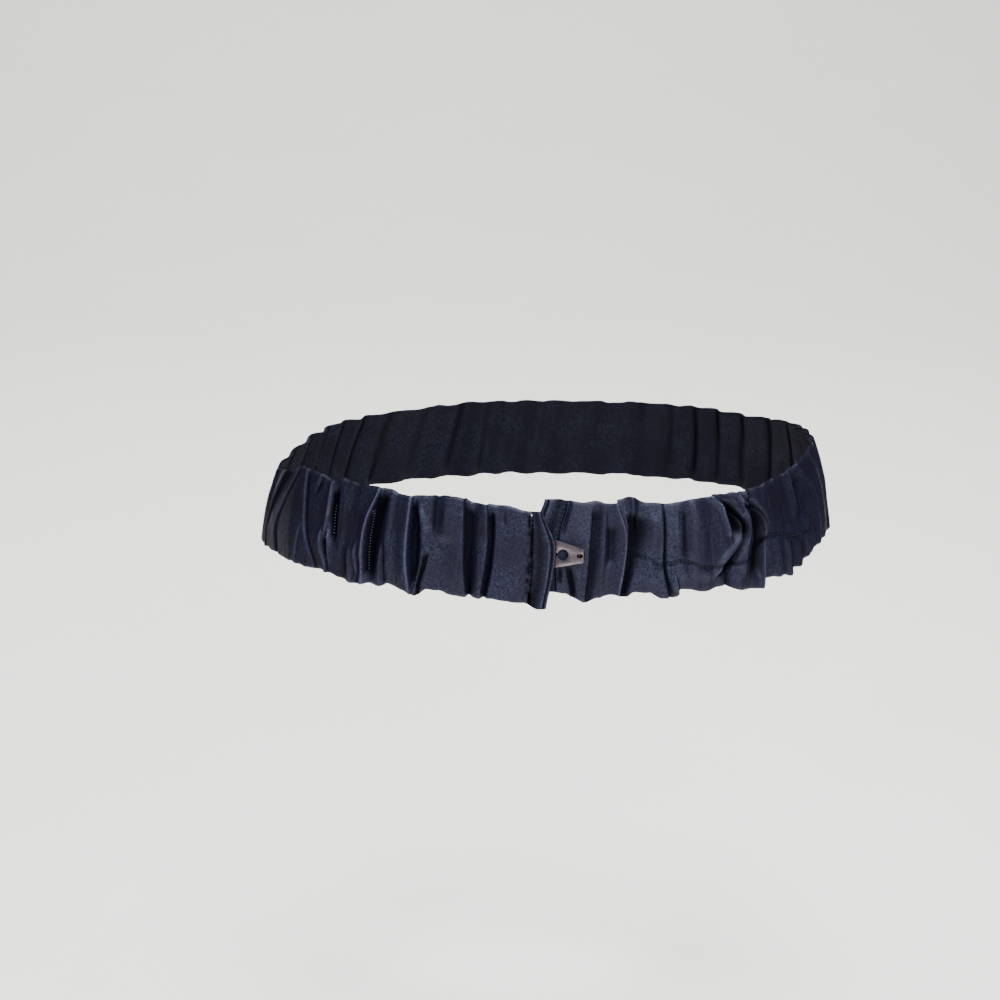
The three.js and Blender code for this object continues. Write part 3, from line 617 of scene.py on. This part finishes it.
# %% [markdown]
# ## The casing
# The casing is one band that goes all the way round, from the lower tab's hem to the upper tab's. Its
# columns are fine over the back, where every fold shows, and wider apart over the front.

# %% Make the casing
BACK_END = 84
BACK_COLUMNS, FRONT_COLUMNS, CASING_ROWS = 405, 180, 44
UNDER_HEM = 0.3
LOWER_END, LOWER_BEND, UPPER_END = -0.8, -1, -6.4


def casing_runs():
    """Columns at an even pitch over each stretch: right of the back, front, left of the back."""
    first, last = LOWER_END - UNDER_HEM, 360 + UPPER_END + UNDER_HEM
    right = np.linspace(first, BACK_END, BACK_COLUMNS, endpoint=False)
    front = np.linspace(BACK_END, 360 - BACK_END, FRONT_COLUMNS, endpoint=False)
    left = np.linspace(360 - BACK_END, last, BACK_COLUMNS)
    return np.concatenate([right, front, left])


def make_casing():
    """The grid of runs bends near its two ends so that it follows the hems' lines."""
    runs, heights = np.meshgrid(casing_runs(), rim_rows(CASING_ROWS, CASING_WALL, CASING_HEIGHT))
    by_start = 1 - smooth((runs - LOWER_BEND) / LAP_FLAT)
    by_end = 1 - smooth((360 + UPPER_END - runs) / LAP_FLAT)
    runs = runs + (line_at(LOWER_HEM_LINE, heights) - LOWER_END) * by_start
    runs = runs + (line_at(UPPER_HEM_LINE, heights) - UPPER_END) * by_end
    rim = np.minimum(heights, 1 - heights) * CASING_HEIGHT
    fullness = rim_fullness(rim, CASING_WALL / 2)
    return cloth_skin("casing_cloth", runs, heights, CASING_WALL, fullness)


casing = make_casing()
print("casing:", len(casing.data.polygons), "faces")

# %% [markdown]
# ## The turned-back ends
# Each end of the casing is folded back on itself and stitched down, so it is a thicker band with a round
# free edge. It is made as the casing is, between two lines, with the thickness dying away at the free edge
# too. Going from the stitching to the free edge, the band has a scalloped furrow, a shallow dip and a narrow
# lip, each with painted shade, and a painted highlight line on each side of the lip. All are in mm.

# %% Make the hems
HEM_COLUMNS = 34
HEM_SPAN = 4.2
SCALLOP_PITCH, SCALLOP_MEAN = 2.1, 0.6
STITCH_REACH, STITCH_DEPTH = 1.6, 1.1
DIP_AT, DIP_REACH, DIP_DEPTH, DIP_SHADE = 4.0, 2.2, 0.9, 0.7
LIP_AT, LIP_REACH, LIP_DEPTH, LIP_SHADE = 1.6, 0.5, 0.8, 0.8
HIGHLIGHT_SHARE = 0.5
OUTER_HIGHLIGHT_AT, OUTER_REACH, INNER_HIGHLIGHT_AT, INNER_REACH = 0.6, 0.4, 2.7, 0.35


def make_hem(name, left_line, right_line, base, free_left):
    """A band between two lines. Its rims are round above, below and at the free edge."""
    width = math.radians(HEM_SPAN) * (UPPER_HALF_WIDTH + LOWER_HALF_WIDTH) / 2
    shares = rim_rows(HEM_COLUMNS, HEM_THICKNESS, width)
    across, heights = np.meshgrid(shares, rim_rows(CASING_ROWS, HEM_THICKNESS, CASING_HEIGHT))
    left, right = line_at(left_line, heights), line_at(right_line, heights)
    runs = base + left + (right - left) * across
    free = (across if free_left else 1 - across) * width
    sewn = width - free
    rim = np.minimum(np.minimum(heights, 1 - heights) * CASING_HEIGHT, free)
    fullness = rim_fullness(rim, HEM_THICKNESS / 2)
    off_stitching = smooth(sewn / DIP_AT)
    stitched, dip = bell(sewn, STITCH_REACH), bell(sewn - DIP_AT, DIP_REACH)
    lip = bell(free - LIP_AT, LIP_REACH) * off_stitching
    wave = np.cos(2 * np.pi * heights * CASING_HEIGHT / SCALLOP_PITCH)
    scallops = SCALLOP_MEAN + (1 - SCALLOP_MEAN) * wave
    groove = -STITCH_DEPTH * stitched - DIP_DEPTH * dip - LIP_DEPTH * lip
    # Painted shade in the stitched furrow, the dip and the lip; painted highlight lines on each side of the
    # lip.
    dark = stitched * scallops + DIP_SHADE * dip + LIP_SHADE * lip
    light = bell(free - OUTER_HIGHLIGHT_AT, OUTER_REACH) + bell(free - INNER_HIGHLIGHT_AT, INNER_REACH) * off_stitching
    return cloth_skin(name, runs, heights, HEM_THICKNESS, fullness, groove, dark, HIGHLIGHT_SHARE * light)


upper_hem = make_hem("upper_hem_cloth", UPPER_HEM_LINE, UPPER_TAB_EDGE, 360, False)
lower_hem = make_hem("lower_hem_cloth", LOWER_TAB_EDGE, LOWER_HEM_LINE, 0, True)
print("hems:", len(upper_hem.data.polygons) + len(lower_hem.data.polygons), "faces")

# %% [markdown]
# ## Stitches
# Thread is laid along a line on the cloth as short capsules with gaps between them. Each one is sunk a
# little into the cloth, so only its back shows.

# %% Thread
THREAD_RADIUS = 0.3
CAPSULE_SIDES = 8
CAPSULE_RINGS = ((-1.0, 0.05), (-0.9, 0.6), (-0.6, 0.95), (0.0, 1.0), (0.6, 0.95), (0.9, 0.6), (1.0, 0.05))
SIDE_NUDGE = 0.3


def on_cloth(run, height, lift):
    """The point of the outer face at a place, lifted off it by a distance in mm."""
    out, slide = cloth_fields(run, height)[:2]
    return on_loop(run + slide, level_at(run, height), out + lift)


def capsules(starts, ends, radius):
    """Points and faces of thread pieces from starts to ends: rings of a capsule round each line. The
    nudge keeps the side apart from a line that stands upright."""
    along = ends - starts
    length = np.linalg.norm(along, axis=1, keepdims=True)
    forward = along / length
    side = np.cross(forward, np.array([0.0, 0.0, 1.0]) + SIDE_NUDGE * forward[:, [1, 2, 0]])
    side /= np.linalg.norm(side, axis=1, keepdims=True)
    upward = np.cross(side, forward)
    turn = np.linspace(0, 2 * np.pi, CAPSULE_SIDES, endpoint=False)
    rings = np.array(CAPSULE_RINGS)
    middle = (starts + ends) / 2
    spine = middle[:, None] + along[:, None] / 2 * rings[None, :, :1]
    around = side[:, None] * np.cos(turn)[None, :, None] + upward[:, None] * np.sin(turn)[None, :, None]
    points = spine[:, :, None] + around[:, None] * (rings[:, 1] * radius * MM)[None, :, None, None]
    count, ring_count = len(starts), len(rings)
    index = np.arange(count * ring_count * CAPSULE_SIDES).reshape(count, ring_count, CAPSULE_SIDES)
    turned = np.roll(index, -1, axis=2)
    faces = np.stack([index[:, :-1], turned[:, :-1], turned[:, 1:], index[:, 1:]], -1).reshape(-1, 4)
    return points.reshape(-1, 3), faces


def stitch_row(run, height, stitch, lift):
    """Cuts a line on the cloth into pieces of one stitch's length with a gap after each, in mm."""
    length, gap = stitch
    path = on_cloth(run, height, lift)
    walked = np.concatenate([[0], np.cumsum(np.linalg.norm(np.diff(path, axis=0), axis=1))]) / MM
    begins = np.arange(0, walked[-1] - length, length + gap)
    places = [np.stack([np.interp(at, walked, path[:, k]) for k in range(3)], 1)
              for at in (begins, begins + length)]
    return capsules(*places, THREAD_RADIUS)


def sew(name, rows):
    """One object from several rows of stitches."""
    points, faces, first = [], [], 0
    for row_points, row_faces in rows:
        points.append(row_points)
        faces.append(row_faces + first)
        first += len(row_points)
    points = np.concatenate(points)
    return weld(link_mesh(name, points, np.concatenate(faces), points[:, :2]))


faces_in_stitch = (len(CAPSULE_RINGS) - 1) * CAPSULE_SIDES
print("a stitch has", faces_in_stitch, "faces")

# %% [markdown]
# Three things are sewn: the seam, where it shows between the folds, the two hems, and short level
# stitches one above the other in two pockets, where the gathering thread crosses. A white end of
# thread stands out of the upper tab's corner. A stitch is given as its length and the gap after it.

# %% Sew the seams
SEAM_PARTS = ((15.2, 18.8), (19.7, 31.4), (45.4, 61.6))
SEAM_STEPS, LINE_STEPS = 400, 240
SEAM_STITCH, HEM_STITCH = (1.5, 0.8), (1.3, 0.8)
ON_TOP, IN_FURROW = 0.1, -0.9
TOPSTITCH, TOPSTITCH_ENDS = (-6.1, -6.3, -6.0, -6.6), (0.04, 0.95)
TAB_STITCH, TAB_STITCH_ENDS = (0.4, -0.9, -1.5, -1.3), (0.72, 0.97)
LADDERS = (((-40.4, -40.2, -40.0, -39.2), 0.15, 0.76, 1.25, 0.16),
           ((-51.6, -51.1, -49.8, -49.2), 0.42, 0.72, 1.4, 0.18))
LADDER_RADIUS = 0.27
THREAD_END_RUN, THREAD_END_HEIGHT = 360 - 6.2, 0.955
THREAD_END_LIFT, THREAD_END_LENGTH = 0.3, 0.9


def line_row(line, ends, lift, base=0):
    """A row of stitches that follows a line from the lower height to the upper one."""
    heights = np.linspace(*ends, LINE_STEPS)
    return stitch_row(base + line_at(line, heights), heights, HEM_STITCH, lift)


def ladder_row(line, start, end, pitch, half_width):
    """Level stitches from one height to another, at a pitch in mm and with half a width in degrees."""
    heights = np.arange(start, end, pitch / CASING_HEIGHT)
    runs = 360 + line_at(line, heights)
    sides = [on_cloth(runs + side * half_width, heights, ON_TOP) for side in (-1, 1)]
    return capsules(*sides, LADDER_RADIUS)


seam_runs = [np.linspace(first, last, SEAM_STEPS) for first, last in SEAM_PARTS]
seam_thread = sew("seam_thread", [stitch_row(runs, seam_height(runs), SEAM_STITCH, ON_TOP)
                                  for runs in seam_runs])
hem_thread = sew("hem_thread", [line_row(TOPSTITCH, TOPSTITCH_ENDS, IN_FURROW, 360),
                                line_row(TAB_STITCH, TAB_STITCH_ENDS, ON_TOP)])
gather_thread = sew("gather_thread", [ladder_row(*ladder) for ladder in LADDERS])
end_low = on_cloth(np.array([THREAD_END_RUN]), np.array([THREAD_END_HEIGHT]), THREAD_END_LIFT)
end_high = end_low + np.array([[0.0, 0.0, THREAD_END_LENGTH]]) * MM
thread_end = sew("thread_end", [capsules(end_low, end_high, THREAD_RADIUS)])
pieces_of_thread = (seam_thread, hem_thread, gather_thread, thread_end)
print("stitches:", sum(len(piece.data.polygons) for piece in pieces_of_thread) // faces_in_stitch)

# %% [markdown]
# ## The hook
# The hook is stamped from sheet metal. The plain model already has its shape with its holes and bent
# bill, so a copy of it is welded, and its sharp edges are rounded as tumbling rounds a stamped part.

# %% Round the hook's edges
HOOK_ROUNDING, BEVEL_STEPS = 0.2 * MM, 3
SHARP_ANGLE, SMOOTH_ANGLE = math.radians(35), math.radians(32)
WELD_DISTANCE, FLAT_ANGLE = 1e-6, math.radians(1)


def rounded_copy(node, name, radius):
    """A copy of a plain solid whose sharp edges get a small round bevel."""
    piece = bpy.data.objects.new(name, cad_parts[node].data.copy())
    bpy.context.collection.objects.link(piece)
    work = bmesh.new()
    work.from_mesh(piece.data)
    bmesh.ops.remove_doubles(work, verts=work.verts, dist=WELD_DISTANCE)
    bmesh.ops.dissolve_limit(work, angle_limit=FLAT_ANGLE, verts=work.verts, edges=work.edges)
    sharp = [e for e in work.edges if e.is_manifold and e.calc_face_angle() > SHARP_ANGLE]
    bmesh.ops.bevel(work, geom=sharp, offset=radius, segments=BEVEL_STEPS, profile=0.5,
                    affect="EDGES", clamp_overlap=True)
    bmesh.ops.triangulate(work, faces=[f for f in work.faces if len(f.verts) > 4])
    work.to_mesh(piece.data)
    work.free()
    piece.data.materials.clear()
    piece.data.polygons.foreach_set("use_smooth", np.ones(len(piece.data.polygons), bool))
    piece.data.set_sharp_from_angle(angle=SMOOTH_ANGLE)
    return piece


hook = rounded_copy("hook_plate", "hook", HOOK_ROUNDING)
print("hook:", len(hook.data.polygons), "faces")

# %% [markdown]
# ## Materials
# One function turns a hex colour into the linear numbers that shaders use, and one adds a node with
# its settings and links. The rest are short names for the nodes that come back again and again.

# %% Material helpers
def hex_colour(text):
    """sRGB hex to linear red, green, blue and full alpha."""
    parts = [int(text[i:i + 2], 16) / 255 for i in (1, 3, 5)]
    linear = [p / 12.92 if p <= 0.04045 else ((p + 0.055) / 1.055) ** 2.4 for p in parts]
    return (*linear, 1)


def add_node(tree, kind, settings=None, inputs=None):
    """Adds a node. A socket among the inputs is linked, and any other value is set."""
    node = tree.nodes.new(kind)
    for key, value in (settings or {}).items():
        setattr(node, key, value)
    for key, value in (inputs or {}).items():
        if isinstance(value, bpy.types.NodeSocket):
            tree.links.new(value, node.inputs[key])
        else:
            node.inputs[key].default_value = value
    return node


def new_material(name):
    """An empty node material with its output, and the tree that it is built in."""
    material = bpy.data.materials.new(name)
    material.use_nodes = True
    material.node_tree.nodes.clear()
    return material, material.node_tree


def object_place(tree):
    """The place on the piece, in metres."""
    return add_node(tree, "ShaderNodeTexCoord").outputs["Object"]


def noise(tree, place, scale, detail=3, roughness=0.5):
    """A cloudy value about one half, finer with a larger scale."""
    inputs = {"Vector": place, "Scale": scale, "Detail": detail, "Roughness": roughness}
    return add_node(tree, "ShaderNodeTexNoise", {}, inputs).outputs["Fac"]


def ranged(tree, value, low, high, start=0, stop=1):
    """A value from start to stop, brought to low to high and held between them."""
    inputs = {"Value": value, "From Min": start, "From Max": stop, "To Min": low, "To Max": high}
    return add_node(tree, "ShaderNodeMapRange", {}, inputs).outputs["Result"]


def mixed(tree, share, first, second, kind="FLOAT"):
    """The first where the share is 0, the second where it is 1. The kind RGBA mixes colours."""
    inputs = {"Factor": share, "A": first, "B": second}
    return add_node(tree, "ShaderNodeMix", {"data_type": kind}, inputs).outputs["Result"]


def times(tree, first, second, clamp=False):
    """The product of two values, held between 0 and 1 if asked."""
    settings = {"operation": "MULTIPLY", "use_clamp": clamp}
    return add_node(tree, "ShaderNodeMath", settings, {0: first, 1: second}).outputs["Value"]


def bumped(tree, height, strength, distance):
    """The surface's direction, tilted as a relief of that height would tilt it."""
    inputs = {"Strength": strength, "Distance": distance, "Height": height}
    return add_node(tree, "ShaderNodeBump", {}, inputs).outputs["Normal"]


def surface(tree, inputs):
    """A principled shader with these inputs, joined to the material's output."""
    shader = add_node(tree, "ShaderNodeBsdfPrincipled", {}, inputs)
    add_node(tree, "ShaderNodeOutputMaterial", {}, {"Surface": shader.outputs["BSDF"]})


print("white is", hex_colour("#ffffff"), "in linear numbers")

# %% [markdown]
# The cloth is polyester satin: long floats of smooth thread, so it is dark and soft with a broad
# gloss that stretches across the threads. The weave is far finer than the picture can show, so it
# is drawn as coarse as it needs to be seen, at 0.55 mm.

# %% Satin
WEAVE_PITCH = 0.55 * MM
WEAVE_BANDS = 0.31
PATCH_SCALE, MOTTLE_SCALE = 70, 1000
PLUM, NAVY, SHEEN = "#1a1420", "#141a2b", "#bdc2e8"
FULL_SHADE_BRIGHTNESS, CREST_HIGHLIGHT_GAIN = 0.1, 2.6
SATIN_BUMP = 0.2 * MM


def satin_material():
    """Dark navy with plum patches, a diagonal weave in the bump and a broad gloss. Both the colour and the
    gloss carry the grain, painted shade in the hollows and painted highlights on the crests: grain * (1 -
    0.9 * hollow_shade) * (1 + 1.6 * crest)."""
    material, tree = new_material("polyester satin")
    uv = add_node(tree, "ShaderNodeUVMap", {"uv_map": "cloth"}).outputs["UV"]
    place = object_place(tree)
    patches = noise(tree, place, PATCH_SCALE)
    mottle = noise(tree, place, MOTTLE_SCALE, detail=4, roughness=0.65)
    weave = add_node(tree, "ShaderNodeTexWave", {"bands_direction": "DIAGONAL"},
                     {"Vector": uv, "Scale": WEAVE_BANDS / WEAVE_PITCH, "Distortion": 2.5, "Detail": 2,
                      "Detail Scale": 2.0}).outputs["Fac"]
    shade = mixed(tree, patches, hex_colour(PLUM), hex_colour(NAVY), "RGBA")
    speckle = ranged(tree, mottle, low=0.45, high=1.6, start=0.35, stop=0.65)
    lively = ranged(tree, patches, low=0.35, high=0.95, start=0.42, stop=0.62)
    grain = mixed(tree, lively, 0.8, speckle)
    hollow_shade = add_node(tree, "ShaderNodeAttribute", {"attribute_name": "hollow_shade"}).outputs["Fac"]
    crest = add_node(tree, "ShaderNodeAttribute", {"attribute_name": "crest"}).outputs["Fac"]
    # Painted shade from the hollow field and painted highlight from the crest field, in both colour and
    # gloss.
    painted_light = times(tree, ranged(tree, hollow_shade, 1, FULL_SHADE_BRIGHTNESS), ranged(tree, crest, 1, CREST_HIGHLIGHT_GAIN))
    grain_and_painted_light = times(tree, grain, painted_light)
    thread = add_node(tree, "ShaderNodeVectorMath", {"operation": "SCALE"},
                      {"Vector": shade, "Scale": grain_and_painted_light}).outputs["Vector"]
    facing = add_node(tree, "ShaderNodeLayerWeight").outputs["Facing"]
    gloss = times(tree, grain_and_painted_light, ranged(tree, facing, low=0.46, high=0.02, start=0.25, stop=0.7), True)
    rough = add_node(tree, "ShaderNodeMath", {"operation": "MULTIPLY_ADD", "use_clamp": True},
                     {0: hollow_shade, 1: 0.3, 2: ranged(tree, mottle, 0.28, 0.5)}).outputs["Value"]
    relief = mixed(tree, 0.7, weave, mottle)
    tangent = add_node(tree, "ShaderNodeTangent", {"direction_type": "UV_MAP", "uv_map": "cloth"})
    surface(tree, {"Base Color": thread, "Roughness": rough, "Normal": bumped(tree, relief, 0.7, SATIN_BUMP),
                   "Tangent": tangent.outputs["Tangent"], "Specular IOR Level": gloss,
                   "Specular Tint": hex_colour(SHEEN), "Anisotropic": 0.6, "Anisotropic Rotation": 0.25})
    return material


satin = satin_material()
for piece in (casing, upper_hem, lower_hem):
    piece.data.materials.append(satin)
print("cloth material:", satin.name)

# %% [markdown]
# The hook is steel with a thin nickel plating, bright but a little worn, with a warm tinge. Fine scratches
# run along the sheet as it was rolled. The bar behind it gets a dark brown colour that is painted shade, for
# the shadow it lies in, and the thread is polyester: black in the seam and the hems, navy in the pockets and
# white at the loose end.

# %% Steel and thread
SCRATCH_PITCH, SCRATCH_STRETCH, SCRATCH_DEPTH = 0.25 * MM, 0.08, 0.03 * MM
SPOT_SCALE, TWIST_SCALE = 140, 2500


def metal_material(name, light, dark):
    """Metal between two shades, with streaks along its length and small dull spots."""
    material, tree = new_material(name)
    place = object_place(tree)
    stretched = add_node(tree, "ShaderNodeMapping", {}, {"Vector": place, "Scale": (SCRATCH_STRETCH, 1, 1)})
    scratches = noise(tree, stretched.outputs["Vector"], 1 / SCRATCH_PITCH)
    worn = ranged(tree, noise(tree, place, SPOT_SCALE, detail=4), low=0, high=1, start=0.35, stop=0.65)
    surface(tree, {"Base Color": mixed(tree, worn, hex_colour(light), hex_colour(dark), "RGBA"),
                   "Metallic": 1.0, "Roughness": ranged(tree, worn, 0.18, 0.45),
                   "Normal": bumped(tree, scratches, 0.2, SCRATCH_DEPTH)})
    return material


def thread_material(name, dark, light):
    """Polyester thread between two shades, with a soft gloss and fine twist."""
    material, tree = new_material(name)
    twist = noise(tree, object_place(tree), TWIST_SCALE, detail=2)
    surface(tree, {"Base Color": mixed(tree, twist, hex_colour(dark), hex_colour(light), "RGBA"),
                   "Roughness": 0.6, "Specular IOR Level": 0.25})
    return material


black_thread = thread_material("black polyester thread", "#080a16", "#181c30")
navy_thread = thread_material("navy polyester thread", "#2c3044", "#454a61")
white_thread = thread_material("white polyester thread", "#b9b8b4", "#e2e1dd")
for piece, material in zip(pieces_of_thread, (black_thread, black_thread, navy_thread, white_thread)):
    piece.data.materials.append(material)
nickel = metal_material("nickel-plated steel", "#a1979e", "#6b5f65")
# The bar's dark brown colour is painted shade.
shade_painted = metal_material("browned steel", "#3a2226", "#241519")
hook.data.materials.append(nickel)
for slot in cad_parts["hook_bar"].material_slots:
    slot.material = shade_painted
print("metal materials:", nickel.name, "and", shade_painted.name)

# %% [markdown]
# ## What each piece stands for
# The pieces ride on the belt's one body. Each cloth piece replaces its plain solid, which is hidden.

for piece, node in ((casing, "casing"), (upper_hem, "upper_end_hem"), (lower_hem, "lower_end_hem")):
    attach(piece, "root")
    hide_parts(node)
for piece in pieces_of_thread:
    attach(piece, "root")
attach(hook, "root")
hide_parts("hook_plate")

# %% [markdown]
# ## The stage
# A pale sweep of floor that curves up into a wall, and large soft lights: the key above and to the
# right of the camera, a weaker fill on its left, one high above the belt, and an even pale sky. Two
# black boards stand beside the belt, out of the camera's sight, to keep the wall's glare off its ends.

# %% Floor and lights
FLOOR_BELOW = 0.26
FLOOR_REACH, FLOOR_HALF_WIDTH, WALL_TOP = 3.0, 5.0, 4.0
BEND_AT, BEND_RADIUS, BEND_STEPS = 1.6, 1.2, 24
CARD_TOP = 0.9
CARDS = (("left board", (-0.52, -0.3), (-0.95, 2.0)), ("right board", (0.5, -0.3), (1.05, 2.0)))
LIGHTS = (("key", (0.66, -1.45, 1.15), 0.9, 27), ("fill", (-1.05, -1.2, 0.95), 0.8, 8),
          ("above", (0.1, 0.2, 2.7), 1.6, 230))
SKY_COLOUR, SKY_STRENGTH = "#f2f4f8", 0.2


def make_sweep():
    """A floor that bends up into a wall: flat, then a quarter circle, then upright."""
    bend = np.linspace(0, np.pi / 2, BEND_STEPS)
    y = np.concatenate([[-FLOOR_REACH], BEND_AT + BEND_RADIUS * np.sin(bend), [BEND_AT + BEND_RADIUS]])
    z = np.concatenate([[0], BEND_RADIUS * (1 - np.cos(bend)), [WALL_TOP]])
    xs = np.array([-FLOOR_HALF_WIDTH, FLOOR_HALF_WIDTH])
    points = np.stack([np.tile(xs, len(y)), np.repeat(y, 2), np.repeat(z, 2) - FLOOR_BELOW], 1)
    sweep = link_mesh("sweep", points, grid_faces(len(y), 2, 0, False), points[:, :2])
    sweep.data.polygons.foreach_set("use_smooth", np.ones(len(sweep.data.polygons), bool))
    material, tree = new_material("painted floor")
    clouds = noise(tree, object_place(tree), 8)
    surface(tree, {"Base Color": mixed(tree, clouds, hex_colour("#efeeea"), hex_colour("#f4f3f0"), "RGBA"),
                   "Roughness": 0.8})
    sweep.data.materials.append(material)
    return sweep


def make_card(name, near, far):
    """An upright black board beside the belt, so that its sides don't mirror the wall. It keeps light
    out and isn't seen itself."""
    corners = [(*near, -FLOOR_BELOW), (*far, -FLOOR_BELOW), (*far, CARD_TOP), (*near, CARD_TOP)]
    card = link_mesh(name, np.array(corners), np.array([[0, 1, 2, 3]]), np.zeros((4, 2)))
    material, tree = new_material("black felt " + name)
    surface(tree, {"Base Color": hex_colour("#0c0c0e"), "Roughness": 1.0, "Specular IOR Level": 0.0})
    card.data.materials.append(material)
    card.visible_camera = False
    return card


def soft_light(name, spot, size, power):
    """A square area light at a spot, turned to face the middle of the waist."""
    data = bpy.data.lights.new(name, "AREA")
    data.shape = "SQUARE"
    data.size = size
    data.energy = power
    light = bpy.data.objects.new(name, data)
    light.location = spot
    light.rotation_euler = (-Vector(spot)).to_track_quat("-Z", "Y").to_euler()
    bpy.context.collection.objects.link(light)
    return light


make_sweep()
for board in CARDS:
    make_card(*board)
for lamp in LIGHTS:
    soft_light(*lamp)
world = bpy.data.worlds.new("pale sky")
world.use_nodes = True
sky = world.node_tree.nodes["Background"]
sky.inputs["Color"].default_value = hex_colour(SKY_COLOUR)
sky.inputs["Strength"].default_value = SKY_STRENGTH
bpy.context.scene.world = world
